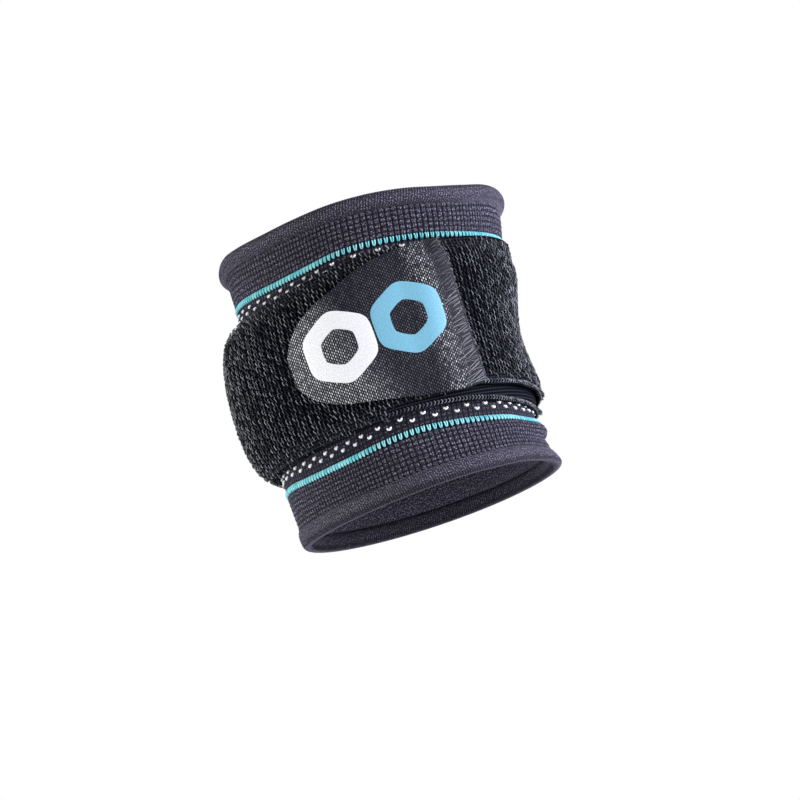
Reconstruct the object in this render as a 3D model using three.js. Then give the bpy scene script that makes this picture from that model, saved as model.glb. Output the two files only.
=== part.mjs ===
// Elbow support: a knitted tube with turned hems and two coloured courses, a loop-faced
// strap that laps round it, and a hook tab that closes the strap on itself.
// Millimetres, +Z up the arm, the tab faces -Y and +X lies to its right.
// The origin lies on the arm's axis, at mid-height of the strap's straight stretch.

import * as THREE from 'three';

// Width and depth of the knitted tube
const HALF_WIDTH = 44;
const HALF_DEPTH = 40;
const KNIT_WALL = 2;
const FIT_GAP = 0.3;

// Hollow on the right, where the inside of the elbow draws the tube in
const CROOK_DEPTH = 5.4;
const CROOK_HEIGHT = 20;
const CROOK_SPREAD = 48;

// Heights above and below the strap, from its edge out to the rim
const STRAP_WIDTH = 49.6;
const UPPER_MARGIN = 5.9;
const LOWER_MARGIN = 4;
const UPPER_RIB = 9.8;
const LOWER_RIB = 10.8;
const UPPER_HEM = 5;
const LOWER_HEM = 5.3;

// How far each hem stands out from the knit
const UPPER_HEM_ROLL = 2.2;
const LOWER_HEM_ROLL = 1;

// Coloured courses, laid in shallow grooves of the knit
const COURSE_HEIGHT = 2;
const COURSE_THICKNESS = 0.6;
const COURSE_STAND = 0.1;

// How far the hems and courses wander up and down round the arm
const WANDER = 2;

// Loop-faced strap
const STRAP_THICKNESS = 2;
const STRAP_CROWN = 8.4;
const DOME_POWER = 2.2;
const SELVAGE_WIDTH = 5;
const SELVAGE_THICKNESS = 1;
const SEWN_THICKNESS = 1.2;

// Hook tab
const TAB_LENGTH = 55.6;
const TAB_HEIGHT = 46.8;
const TAB_THICKNESS = 1.2;
const TAB_SEAM = 8;
const TAB_STRAIGHT = 12;
const TAB_SLOPE = 0.1;
const TAB_NOSE_FLAT = 9.1;

// Angles round the arm, from +X towards the back, in degrees
const STRAP_END = 396;
const LAP_LANDS = 66;
const TAB_EDGE = -57.6;
const TAB_RAMP_FAR = 15;
const TAB_RAMP_NEAR = 3;

// Facets
const STEPS_ROUND = 60;
const STRAP_ROWS = 8;
const TAB_STEPS = 16;
const TAB_ROWS = 10;
const LOWER_RIB_ROWS = 8;
const UPPER_RIB_ROWS = 4;
const UNDER_STRAP_ROWS = 7;
const LINING_ROWS = 12;

const TOP = STRAP_WIDTH / 2 + UPPER_MARGIN + UPPER_RIB + UPPER_HEM;
const BOTTOM = STRAP_WIDTH / 2 + LOWER_MARGIN + LOWER_RIB + LOWER_HEM;
const UPPER_COURSE_AT = STRAP_WIDTH / 2 + UPPER_MARGIN;
const LOWER_COURSE_AT = -STRAP_WIDTH / 2 - LOWER_MARGIN;
const STEP = 360 / STEPS_ROUND;
const TAB_RADIUS = HALF_DEPTH + KNIT_WALL + STRAP_THICKNESS + TAB_THICKNESS;
const SEAM_ANGLE = THREE.MathUtils.radToDeg(TAB_SEAM / TAB_RADIUS);
const TAB_REACH = TAB_STRAIGHT
  + (TAB_LENGTH - TAB_STRAIGHT) * Math.sqrt(1 - (TAB_NOSE_FLAT / TAB_HEIGHT) ** 2);
const STRAP_START = Math.round((TAB_EDGE - SEAM_ANGLE) / STEP) * STEP;

// Sections of the tube. up is a share of TOP or BOTTOM, left and right of HALF_WIDTH,
// deep of HALF_DEPTH, and lean is the slope of the section towards +X.
const SECTIONS = [
  { up: -1.0, left: 0.92, right: 0.918, deep: 0.935, lean: 0.058 },
  { up: -0.85, left: 0.939, right: 0.915, deep: 0.94, lean: 0.043 },
  { up: -0.64, left: 0.961, right: 0.891, deep: 0.95, lean: 0.026 },
  { up: -0.53, left: 0.963, right: 0.895, deep: 0.96, lean: 0.02 },
  { up: -0.4, left: 0.961, right: 0.92, deep: 0.965, lean: 0.017 },
  { up: -0.22, left: 0.959, right: 0.936, deep: 0.97, lean: 0.013 },
  { up: 0.0, left: 0.959, right: 0.945, deep: 0.975, lean: 0.01 },
  { up: 0.22, left: 0.963, right: 0.957, deep: 0.98, lean: 0.008 },
  { up: 0.4, left: 0.968, right: 0.963, deep: 0.99, lean: 0.006 },
  { up: 0.56, left: 0.975, right: 0.968, deep: 1.0, lean: 0.004 },
  { up: 0.68, left: 0.98, right: 0.995, deep: 1.005, lean: 0.003 },
  { up: 0.85, left: 0.988, right: 1.02, deep: 1.02, lean: 0.004 },
  { up: 1.0, left: 0.986, right: 1.027, deep: 1.03, lean: 0.006 },
];

// Folds bunched over the lower hem on the right, and its outward curl. at and spread are
// degrees, up is a share of BOTTOM, tall of LOWER_RIB and out of KNIT_WALL.
const FOLDS = [
  { at: 5, spread: 42, up: 0.715, tall: 0.2, out: 0.85 },
  { at: 5, spread: 38, up: 0.79, tall: 0.1, out: -0.3 },
  { at: -5, spread: 40, up: 1.0, tall: 0.3, out: 0.75 },
  { at: -125, spread: 30, up: 0.78, tall: 0.3, out: 0.15 },
];

// Where the hems and courses wander to. turn is in degrees, and the rest are shares of
// WANDER. The back is even.
const WANDERS = [
  { turn: -180, lowerHem: 0, lowerCourse: 0, upperCourse: 0, upperHem: 0 },
  { turn: -160, lowerHem: -0.35, lowerCourse: -0.15, upperCourse: -0.4, upperHem: 0.35 },
  { turn: -145, lowerHem: -0.47, lowerCourse: -0.55, upperCourse: -0.8, upperHem: 0 },
  { turn: -130, lowerHem: -0.47, lowerCourse: -0.7, upperCourse: -1, upperHem: -0.25 },
  { turn: -115, lowerHem: -0.4, lowerCourse: -0.5, upperCourse: -0.7, upperHem: -0.08 },
  { turn: -100, lowerHem: -0.25, lowerCourse: 0.1, upperCourse: 0, upperHem: 0.22 },
  { turn: -85, lowerHem: -0.05, lowerCourse: 0.52, upperCourse: 0.08, upperHem: 0.25 },
  { turn: -70, lowerHem: 0.1, lowerCourse: 0.4, upperCourse: -0.15, upperHem: 0 },
  { turn: -55, lowerHem: 0.2, lowerCourse: 0.15, upperCourse: -0.45, upperHem: -0.4 },
  { turn: -40, lowerHem: 0.3, lowerCourse: -0.1, upperCourse: -0.67, upperHem: -0.37 },
  { turn: -25, lowerHem: 0.1, lowerCourse: -0.6, upperCourse: -0.65, upperHem: 0.05 },
  { turn: -10, lowerHem: 0, lowerCourse: -0.45, upperCourse: -0.4, upperHem: 0.2 },
  { turn: 10, lowerHem: 0, lowerCourse: -0.2, upperCourse: -0.15, upperHem: 0.1 },
  { turn: 30, lowerHem: 0, lowerCourse: 0, upperCourse: 0, upperHem: 0 },
  { turn: 180, lowerHem: 0, lowerCourse: 0, upperCourse: 0, upperHem: 0 },
];

// A hem's section, up its outer side and down its inner side. roll is a share of the hem's
// roll, wall of KNIT_WALL and up of the hem's height.
const HEM_SECTION = [
  { roll: 0.35, wall: 0, up: 0 },
  { roll: 0.95, wall: 0, up: 0.25 },
  { roll: 1, wall: 0, up: 0.6 },
  { roll: 0.5, wall: 0, up: 0.92 },
  { roll: 0, wall: -0.4, up: 1 },
  { roll: 0, wall: -1, up: 0.8 },
  { roll: 0, wall: -1, up: 0.2 },
  { roll: 0, wall: -0.7, up: 0 },
];

// The strap's run, from its sewn end at the tab to its hidden end. turn is in degrees, rise
// is its middle's height and wide its width as shares of STRAP_WIDTH, and crown is a share
// of STRAP_CROWN.
const STRAP_RUN = [
  { turn: -66, rise: 0.094, wide: 0.93, crown: 0.12 },
  { turn: -30, rise: 0.086, wide: 0.97, crown: 0.12 },
  { turn: 0, rise: 0.07, wide: 1.0, crown: 0.1 },
  { turn: 60, rise: 0.034, wide: 1.0, crown: 0.16 },
  { turn: 96, rise: 0.016, wide: 1.0, crown: 0.3 },
  { turn: 138, rise: 0.012, wide: 1.0, crown: 0.72 },
  { turn: 180, rise: 0.01, wide: 0.97, crown: 1.0 },
  { turn: 216, rise: 0.0, wide: 0.962, crown: 0.66 },
  { turn: 240, rise: 0.022, wide: 0.97, crown: 0.4 },
  { turn: 270, rise: 0.056, wide: 1.0, crown: 0.2 },
  { turn: 300, rise: 0.042, wide: 1.0, crown: 0.12 },
  { turn: 330, rise: 0.0, wide: 1.0, crown: 0.08 },
  { turn: 360, rise: -0.03, wide: 1.0, crown: 0.06 },
  { turn: 396, rise: -0.03, wide: 1.0, crown: 0.06 },
];

// How much narrower than a rounded nose the tab is above and below its middle line. along
// is a share of TAB_LENGTH, and upper and lower are shares of the rounded nose.
const TAB_TRIM = [
  { along: 0, upper: 1, lower: 1 },
  { along: 0.14, upper: 1, lower: 1 },
  { along: 0.27, upper: 1, lower: 0.96 },
  { along: 0.5, upper: 0.96, lower: 0.89 },
  { along: 0.64, upper: 0.925, lower: 0.88 },
  { along: 0.77, upper: 0.96, lower: 0.915 },
  { along: 0.9, upper: 1, lower: 0.965 },
  { along: 1, upper: 1, lower: 1 },
];

// A smooth function of one column of a table
function column(rows, from, name) {
  const places = rows.map((row) => row[from]);
  const values = rows.map((row) => row[name]);
  const curve = new THREE.CubicInterpolant(places, values, 1);
  return (place) => curve.evaluate(place)[0];
}

const leftShare = column(SECTIONS, 'up', 'left');
const rightShare = column(SECTIONS, 'up', 'right');
const deepShare = column(SECTIONS, 'up', 'deep');
const leanAt = column(SECTIONS, 'up', 'lean');
const riseShare = column(STRAP_RUN, 'turn', 'rise');
const wideShare = column(STRAP_RUN, 'turn', 'wide');
const crownShare = column(STRAP_RUN, 'turn', 'crown');
const upperTrim = column(TAB_TRIM, 'along', 'upper');
const lowerTrim = column(TAB_TRIM, 'along', 'lower');

// The heights that wander, from the lower hem up, and how. Mid-height stays where it is.
const WANDERING = [
  { at: -BOTTOM + LOWER_HEM, share: column(WANDERS, 'turn', 'lowerHem') },
  { at: LOWER_COURSE_AT, share: column(WANDERS, 'turn', 'lowerCourse') },
  { at: 0, share: () => 0 },
  { at: UPPER_COURSE_AT, share: column(WANDERS, 'turn', 'upperCourse') },
  { at: TOP - UPPER_HEM, share: column(WANDERS, 'turn', 'upperHem') },
];

// How far round from one angle to another, the short way, in degrees
function between(angle, at) {
  const turned = THREE.MathUtils.euclideanModulo(angle - at + 180, 360);
  return turned - 180;
}

function foldAt(angle, height) {
  const aside = between(angle, 0) / CROOK_SPREAD;
  const above = height / CROOK_HEIGHT;
  let out = -CROOK_DEPTH * Math.exp(-aside * aside - above * above);
  for (const fold of FOLDS) {
    const side = between(angle, fold.at) / fold.spread;
    const over = (height + fold.up * BOTTOM) / (fold.tall * LOWER_RIB);
    out += fold.out * KNIT_WALL * Math.exp(-side * side - over * over);
  }
  return out;
}

// The point of the tube at an angle and a height, and offset out from the knit's face
function onTube(angle, height, offset) {
  const up = height / (height > 0 ? TOP : BOTTOM);
  const left = leftShare(up) * HALF_WIDTH;
  const right = rightShare(up) * HALF_WIDTH;
  const wide = (left + right) / 2;
  const deep = deepShare(up) * HALF_DEPTH;
  const turn = THREE.MathUtils.degToRad(angle);
  const normal = new THREE.Vector2(Math.cos(turn) / wide, Math.sin(turn) / deep).normalize();
  const out = offset + foldAt(angle, height);
  const x = (right - left) / 2 + wide * Math.cos(turn) + out * normal.x;
  const y = deep * Math.sin(turn) + out * normal.y;
  return new THREE.Vector3(x, y, height + leanAt(up) * x);
}

// Where a height of the knit lies at an angle, once it has wandered. Each hem moves as one.
function wandered(angle, height) {
  const held = THREE.MathUtils.clamp(height, WANDERING[0].at, WANDERING.at(-1).at);
  const above = Math.max(WANDERING.findIndex((line) => line.at >= held), 1);
  const upper = WANDERING[above];
  const lower = WANDERING[above - 1];
  const share = (held - lower.at) / (upper.at - lower.at);
  return height + WANDER * THREE.MathUtils.lerp(lower.share(angle), upper.share(angle), share);
}

// Moves each vertex of a geometry to where the function puts it
function reshape(geometry, move) {
  const places = geometry.attributes.position;
  const vertex = new THREE.Vector3();
  for (let i = 0; i < places.count; i += 1) {
    vertex.fromBufferAttribute(places, i);
    const moved = move(vertex);
    places.setXYZ(i, moved.x, moved.y, moved.z);
  }
  geometry.computeVertexNormals();
  return geometry;
}

// A ring on the tube, from a closed profile of [offset, height] that runs up its outer side
function ring(profile) {
  const points = profile.map(([offset, height]) => new THREE.Vector2(HALF_WIDTH + offset, height));
  points.push(points[0].clone());
  const geometry = new THREE.LatheGeometry(points, STEPS_ROUND);
  geometry.rotateX(Math.PI / 2);
  return reshape(geometry, (vertex) => {
    const angle = THREE.MathUtils.radToDeg(Math.atan2(vertex.y, vertex.x));
    const offset = Math.hypot(vertex.x, vertex.y) - HALF_WIDTH;
    return onTube(angle, wandered(angle, vertex.z), offset);
  });
}

// Heights spread evenly between two ends, both included
function heights(from, to, count) {
  return Array.from({ length: count }, (_, i) => from + ((to - from) * i) / (count - 1));
}

function grooveProfile(at) {
  const half = COURSE_HEIGHT / 2 + FIT_GAP;
  const floor = COURSE_STAND - COURSE_THICKNESS - FIT_GAP;
  return [[0, at - half], [floor, at - half], [floor, at + half], [0, at + half]];
}

function sleeveGeometry() {
  const low = -BOTTOM + LOWER_HEM + FIT_GAP;
  const high = TOP - UPPER_HEM - FIT_GAP;
  const grooveHalf = COURSE_HEIGHT / 2 + FIT_GAP;
  const underStrap = STRAP_WIDTH / 2;
  const onFace = (height) => [0, height];
  const outer = [
    ...heights(low, LOWER_COURSE_AT - grooveHalf, LOWER_RIB_ROWS).slice(0, -1).map(onFace),
    ...grooveProfile(LOWER_COURSE_AT),
    ...heights(-underStrap, underStrap, UNDER_STRAP_ROWS).map(onFace),
    ...grooveProfile(UPPER_COURSE_AT),
    ...heights(UPPER_COURSE_AT + grooveHalf, high, UPPER_RIB_ROWS).slice(1).map(onFace),
  ];
  const inner = heights(high, low, LINING_ROWS).map((height) => [-KNIT_WALL, height]);
  return ring([...outer, ...inner]);
}

// A rolled hem between two heights
function hemGeometry(low, high, roll) {
  const tall = high - low;
  return ring(HEM_SECTION.map((corner) => [
    corner.roll * roll + corner.wall * KNIT_WALL,
    low + corner.up * tall,
  ]));
}

function courseGeometry(at) {
  const half = COURSE_HEIGHT / 2;
  const inside = COURSE_STAND - COURSE_THICKNESS;
  return ring([[COURSE_STAND, at - half], [COURSE_STAND, at + half], [inside, at + half], [inside, at - half]]);
}

// The strap's middle height at a turn
function strapMiddle(turn) {
  return riseShare(turn) * STRAP_WIDTH;
}

// How far a height is across the strap at a turn: 0 at its middle and 1 or -1 at its edges
function acrossStrap(turn, height) {
  return (height - strapMiddle(turn)) / ((wideShare(turn) * STRAP_WIDTH) / 2);
}

// The domed shape across the strap, 1 in the middle and 0 at the edges
function dome(across) {
  const share = Math.min(Math.abs(across), 1);
  return Math.sqrt(1 - share ** DOME_POWER);
}

// How thick the strap is at a turn and a height: thin at its edges and where it is sewn
function strapThickness(turn, height) {
  const across = Math.min(Math.abs(acrossStrap(turn, height)), 1);
  const selvage = THREE.MathUtils.smoothstep(across, 1 - SELVAGE_WIDTH / (STRAP_WIDTH / 2), 1);
  const edge = THREE.MathUtils.lerp(1, SELVAGE_THICKNESS / STRAP_THICKNESS, selvage);
  const sewn = THREE.MathUtils.smoothstep(turn, TAB_EDGE, TAB_EDGE + 2 * STEP);
  return edge * THREE.MathUtils.lerp(SEWN_THICKNESS, STRAP_THICKNESS, sewn);
}

// How far the strap's inner face stands off the knit. Over its lap it lies on its own first
// turn, then it comes down to the knit.
function strapBase(turn, height) {
  const own = crownShare(turn) * STRAP_CROWN * dome(acrossStrap(turn, height));
  if (turn >= LAP_LANDS) return FIT_GAP + own;
  const under = strapFace(Math.min(turn + 360, STRAP_END), height);
  const down = THREE.MathUtils.smoothstep(turn, STRAP_END - 360, LAP_LANDS);
  return FIT_GAP + THREE.MathUtils.lerp(under, own, down);
}

function strapFace(turn, height) {
  return strapBase(turn, height) + strapThickness(turn, height);
}

function strapGeometry() {
  const steps = (STRAP_END - STRAP_START) / STEP;
  const box = new THREE.BoxGeometry(1, 1, 1, steps, STRAP_ROWS, 1);
  return reshape(box, (vertex) => {
    const turn = STRAP_START + (vertex.x + 0.5) * (STRAP_END - STRAP_START);
    const across = Math.sin(vertex.y * Math.PI);
    const height = strapMiddle(turn) + (across * wideShare(turn) * STRAP_WIDTH) / 2;
    const offset = vertex.z > 0 ? strapFace(turn, height) : strapBase(turn, height);
    return onTube(turn, height, offset);
  });
}

// The tab's height above or below its middle line, at a distance from its sewn edge:
// straight, then a rounded nose
function tabHalfHeight(distance, above) {
  const share = Math.max(distance - TAB_STRAIGHT, 0) / (TAB_LENGTH - TAB_STRAIGHT);
  const trim = above ? upperTrim : lowerTrim;
  return trim(distance / TAB_LENGTH) * (TAB_HEIGHT / 2) * Math.sqrt(1 - share ** 2);
}

// How far the tab's inner face stands off the knit: on the strap's first turn, and rising
// over the strap's sewn end
function tabBase(angle, height) {
  const onStrap = strapFace(angle + 360, height);
  const rise = THREE.MathUtils.smoothstep(angle, STRAP_START - TAB_RAMP_FAR, STRAP_START - TAB_RAMP_NEAR);
  return onStrap + FIT_GAP + rise * (SEWN_THICKNESS + FIT_GAP);
}

function tabGeometry() {
  const box = new THREE.BoxGeometry(1, 1, 1, TAB_STEPS, TAB_ROWS, 1);
  return reshape(box, (vertex) => {
    const distance = Math.sin(((0.5 - vertex.x) * Math.PI) / 2) * TAB_REACH;
    const up = vertex.y * 2 * tabHalfHeight(distance, vertex.y > 0);
    const angle = TAB_EDGE - THREE.MathUtils.radToDeg((distance + TAB_SLOPE * up) / TAB_RADIUS);
    const height = strapMiddle(STRAP_START) - TAB_SLOPE * distance + up;
    const base = tabBase(angle, height);
    return onTube(angle, height, vertex.z > 0 ? base + TAB_THICKNESS : base);
  });
}

function part(name, geometry, colour, roughness) {
  const material = new THREE.MeshStandardMaterial({ color: colour, roughness, metalness: 0 });
  const mesh = new THREE.Mesh(geometry, material);
  mesh.name = name;
  return mesh;
}

const KNIT = '#35323d';
const HEM = '#3a3744';
const COURSE = '#5fcfdc';
const LOOP = '#16171b';
const TAB = '#3b3e46';

const support = new THREE.Group();
support.add(
  part('sleeve', sleeveGeometry(), KNIT, 0.9),
  part('upper_hem', hemGeometry(TOP - UPPER_HEM, TOP, UPPER_HEM_ROLL), HEM, 0.9),
  part('lower_hem', hemGeometry(-BOTTOM, -BOTTOM + LOWER_HEM, LOWER_HEM_ROLL), HEM, 0.9),
  part('upper_course', courseGeometry(UPPER_COURSE_AT), COURSE, 0.7),
  part('lower_course', courseGeometry(LOWER_COURSE_AT), COURSE, 0.7),
  part('strap', strapGeometry(), LOOP, 0.8),
  part('tab', tabGeometry(), TAB, 0.6),
);

export default support;
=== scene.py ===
"""Elbow support: a knitted tube with turned hems, coloured courses and rows of white
stitches, a loop-faced strap lapped round it and a satin hook tab with a plain print.

Lengths are in millimetres until a mesh is made, where they become metres.
"""

import math

import bpy
import numpy as np
from mathutils import Matrix, Vector


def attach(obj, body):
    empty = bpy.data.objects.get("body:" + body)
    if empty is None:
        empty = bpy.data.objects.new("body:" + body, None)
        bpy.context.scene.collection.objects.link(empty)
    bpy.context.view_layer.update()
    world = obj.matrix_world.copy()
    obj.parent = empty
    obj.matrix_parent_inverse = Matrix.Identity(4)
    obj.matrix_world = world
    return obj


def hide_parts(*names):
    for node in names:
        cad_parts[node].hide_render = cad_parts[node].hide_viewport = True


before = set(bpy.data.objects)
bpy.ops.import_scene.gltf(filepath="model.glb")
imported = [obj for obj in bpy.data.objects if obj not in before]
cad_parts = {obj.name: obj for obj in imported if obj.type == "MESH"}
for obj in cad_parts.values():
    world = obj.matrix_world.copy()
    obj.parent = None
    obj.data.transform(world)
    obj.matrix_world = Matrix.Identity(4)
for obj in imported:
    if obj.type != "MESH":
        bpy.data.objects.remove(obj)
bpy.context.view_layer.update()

MM = 0.001
rng = np.random.default_rng(20)

# Sizes of the tube
HALF_WIDTH = 44
HALF_DEPTH = 40
KNIT_WALL = 2
FIT_GAP = 0.3
CROOK_DEPTH = 5.4
CROOK_HEIGHT = 20
CROOK_SPREAD = 48
STRAP_WIDTH = 49.6
UPPER_MARGIN = 5.9
LOWER_MARGIN = 4
UPPER_RIB = 9.8
LOWER_RIB = 10.8
UPPER_HEM = 5
LOWER_HEM = 5.3
UPPER_HEM_ROLL = 2.2
LOWER_HEM_ROLL = 1
COURSE_HEIGHT = 2
WANDER = 2

# Sizes of the strap and tab
STRAP_THICKNESS = 2
STRAP_CROWN = 8.4
SEWN_THICKNESS = 1.2
TAB_LENGTH = 55.6
TAB_HEIGHT = 46.8
TAB_THICKNESS = 1.2
TAB_STRAIGHT = 12
TAB_SLOPE = 0.1
TAB_NOSE_FLAT = 9.1
STRAP_START = -66
STRAP_END = 396
LAP_LANDS = 66
TAB_EDGE = -57.6
TAB_RAMP_FAR = 15
TAB_RAMP_NEAR = 3
SEWN_RAMP = 12
DOME_POWER = 2.2
SELVAGE_WIDTH = 5
SELVAGE_THICKNESS = 1

TOP = STRAP_WIDTH / 2 + UPPER_MARGIN + UPPER_RIB + UPPER_HEM
BOTTOM = STRAP_WIDTH / 2 + LOWER_MARGIN + LOWER_RIB + LOWER_HEM
UPPER_COURSE_AT = STRAP_WIDTH / 2 + UPPER_MARGIN
LOWER_COURSE_AT = -STRAP_WIDTH / 2 - LOWER_MARGIN
TAB_RADIUS = HALF_DEPTH + KNIT_WALL + STRAP_THICKNESS + TAB_THICKNESS
TAB_NOSE = TAB_LENGTH - TAB_STRAIGHT
TAB_REACH = TAB_STRAIGHT + TAB_NOSE * math.sqrt(1 - (TAB_NOSE_FLAT / TAB_HEIGHT) ** 2)

# Stitches of the knit
WALES = 168
WALE_COLUMNS = 5
WALE_LEAN = 0.04
RIB_ROW = 1.5
RIB_RELIEF = 0.45
RIB_SUNK = 0.6
BESIDE_RELIEF = 0.6
UNDER_STRAP_LOW = -21
UNDER_STRAP_HIGH = 23
LINING_ROWS = 10
LINING_SHADE = 0.6
HEM_LINES = 320
HEM_SLANT = 0.25
HEM_STEPS = 3
HEM_LINE_DEPTH = 0.05
RIM_NOTCH_DEPTH = 0.1
RIM_NOTCH_FADES = (0.12, 0.4)
# Painted shade along the hem's rim
RIM_DARKER = 0.1

# Single stitches: yarn radii, how far the links lie from the hems, and the rows of dots as
# mm from their course and the first wale
COURSE_YARN = 0.25
DOT_YARN = 0.36
DOT_WALES = 4
UPPER_DOTS = ((2.4, 1.0), (3.9, 3.0))
LOWER_DOTS = ((3.35, 1.0), (4.75, 3.0))
UPPER_LINK_YARN = 0.17
LOWER_LINK_YARN = 0.15
UPPER_LINK_OFF = 0.5
LOWER_LINK_OFF = 0.25

# Shapes of single stitches: wales aside, mm up and mm out
STITCH_V = (
    (-0.2, 0.82, -0.3),
    (-0.19, 0.5, 0.1),
    (-0.17, -0.1, 0.22),
    (-0.13, -0.6, 0.14),
    (0.0, -0.78, -0.1),
    (0.13, -0.6, 0.14),
    (0.17, -0.1, 0.22),
    (0.19, 0.5, 0.1),
    (0.2, 0.82, -0.3),
)
DOT_U = (
    (-0.3, 0.34, -0.3),
    (-0.27, 0.16, 0.14),
    (-0.16, -0.1, 0.26),
    (0.0, -0.22, 0.18),
    (0.16, -0.1, 0.26),
    (0.27, 0.16, 0.14),
    (0.3, 0.34, -0.3),
)
CHAIN = (
    (-0.42, 0.3, -0.15),
    (-0.16, 0.18, 0.1),
    (0.14, -0.16, 0.16),
    (0.45, -0.3, 0.05),
)

# Loops of the strap, which stray by shares of their pitch and row
LOOP_PITCH = 2.8
LOOP_ROW = 1.65
LOOP_STRAY = 0.035
ROW_STRAY = 0.05
LOOP_SIZE_SPREAD = 0.1
LOOP_TWIST = 0.09
LOOP_SUNK = 0.1
PILE = 0.34
PILE_SPREAD = 0.13
LEG_YARN = 0.155
LEG_LENGTH = 1.3
LEG_FOOT = 0.16
LEG_LEAN = 0.28
LEG_LEAN_SPREAD = 0.2
LEG_SWING = 0.1
CROSSING_YARN = 0.13
CROSSING_DROP = 0.7
CROSSING_FOOT = 0.08
TAPE_SHARE = 0.68

# Where the loops end, in turns and in shares of half the strap's width: the strap's lower
# border is bare from one turn on, and its outer layer goes to another
BARE_FROM = 262
BARE_RAGGED = 4
BARE_LOWEST = -0.85
OUTER_UNTIL = 40
OUTER_LOWEST = -0.91
OUTER_HIGHEST = 0.98
LOOPS_LOWEST = -0.99
LOOPS_HIGHEST = 1.03
TAB_BORDER = 2

# Stitches and loose loops of the strap's lower edge
SELVAGE_STEP = 1.25
SELVAGE_AT = 0.965
SELVAGE_TALL = 0.62
SELVAGE_HOOK = 0.5
# Turns over which the selvage's painted shade on the left fades out
SELVAGE_BRIGHTENS = (-104, -66)
EDGE_YARN = 0.15
EDGE_LOOP_STEP = 1.1
EDGE_LOOP_TURNS = ((-40, 30), (320, 390))
EDGE_LOOPS_AT = 0.96
LOOSEST_AT = -8
LOOSE_SPREAD = 12

# Satin, print and threads of the tab. The rings stand at mm from the sewn edge and up
SATIN_COLUMN = 0.6
SATIN_ROW = 1.08
TAB_RIM_DROP = 0.35
TAB_RIM_LIFT = 0.05
RING_SIZE = 21
RING_BAND = 5.2
RING_CORNER = 1.075
RING_ROUNDING = 0.35
LEFT_RING_AT = (38.5, 1.2)
RIGHT_RING_AT = (17, 2.2)
PRINT_THICKNESS = 0.06
PRINT_SUNK = 0.15
THREAD_STEP = 1.2
THREAD_GAP = 0.35
THREAD_YARN = 0.085
THREAD_LENGTH = 3.8
THREAD_LONGER = 1.8
THREAD_SLANT = -0.3
THREAD_SLANT_SPREAD = 0.16
FUZZ_COUNT = 620
FUZZ_YARN = 0.06

# Sheen, light and floor, the floor in metres
SHEEN_ROUGHNESS = 0.35
SHEEN_TINT = (0.8, 0.76, 1, 1)
WORLD_LIGHT = 0.32
FLOOR_AT = -0.34

# Sections of the tube: share of TOP or BOTTOM, left and right of HALF_WIDTH, depth of
# HALF_DEPTH, and the section's slope towards +X
SECTIONS = np.array([
    (-1.0, 0.92, 0.918, 0.935, 0.058),
    (-0.85, 0.939, 0.915, 0.94, 0.043),
    (-0.64, 0.961, 0.891, 0.95, 0.026),
    (-0.53, 0.963, 0.895, 0.96, 0.02),
    (-0.4, 0.961, 0.92, 0.965, 0.017),
    (-0.22, 0.959, 0.936, 0.97, 0.013),
    (0.0, 0.959, 0.945, 0.975, 0.01),
    (0.22, 0.963, 0.957, 0.98, 0.008),
    (0.4, 0.968, 0.963, 0.99, 0.006),
    (0.56, 0.975, 0.968, 1.0, 0.004),
    (0.68, 0.98, 0.995, 1.005, 0.003),
    (0.85, 0.988, 1.02, 1.02, 0.004),
    (1.0, 0.986, 1.027, 1.03, 0.006),
])

# Folds and curls: angle, spread in degrees, share of BOTTOM, of LOWER_RIB and of KNIT_WALL
FOLDS = (
    (5, 42, 0.715, 0.2, 0.85),
    (5, 38, 0.79, 0.1, -0.3),
    (-5, 40, 1.0, 0.3, 0.75),
    (-125, 30, 0.78, 0.3, 0.15),
)

# Where the wales stand round the tube: their numbers and angles in degrees
WALE_PLACES = np.array([
    (0, -180),
    (13, -152.8),
    (25, -130),
    (41, -104.3),
    (49, -85),
    (57, -65),
    (65, -46),
    (73, -31),
    (89, 0),
    (168, 180),
])

# Where the hems and courses wander to round the tube, in degrees and shares of WANDER:
# the lower hem, the lower course, mid-height, the upper course and the upper hem
WANDERS = np.array([
    (-180, 0, 0, 0, 0, 0),
    (-160, -0.35, -0.15, 0, -0.4, 0.35),
    (-145, -0.47, -0.55, 0, -0.8, 0),
    (-130, -0.47, -0.7, 0, -1, -0.25),
    (-115, -0.4, -0.5, 0, -0.7, -0.08),
    (-100, -0.25, 0.1, 0, 0, 0.22),
    (-85, -0.05, 0.52, 0, 0.08, 0.25),
    (-70, 0.1, 0.4, 0, -0.15, 0),
    (-55, 0.2, 0.15, 0, -0.45, -0.4),
    (-40, 0.3, -0.1, 0, -0.67, -0.37),
    (-25, 0.1, -0.6, 0, -0.65, 0.05),
    (-10, 0, -0.45, 0, -0.4, 0.2),
    (10, 0, -0.2, 0, -0.15, 0.1),
    (30, 0, 0, 0, 0, 0),
    (180, 0, 0, 0, 0, 0),
])

# The strap's run: turn, rise and width as shares of STRAP_WIDTH, and share of STRAP_CROWN
STRAP_RUN = np.array([
    (-66, 0.094, 0.93, 0.12),
    (-30, 0.086, 0.97, 0.12),
    (0, 0.07, 1.0, 0.1),
    (60, 0.034, 1.0, 0.16),
    (96, 0.016, 1.0, 0.3),
    (138, 0.012, 1.0, 0.72),
    (180, 0.01, 0.97, 1.0),
    (216, 0.0, 0.962, 0.66),
    (240, 0.022, 0.97, 0.4),
    (270, 0.056, 1.0, 0.2),
    (300, 0.042, 1.0, 0.12),
    (330, 0.0, 1.0, 0.08),
    (360, -0.03, 1.0, 0.06),
    (396, -0.03, 1.0, 0.06),
])

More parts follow.
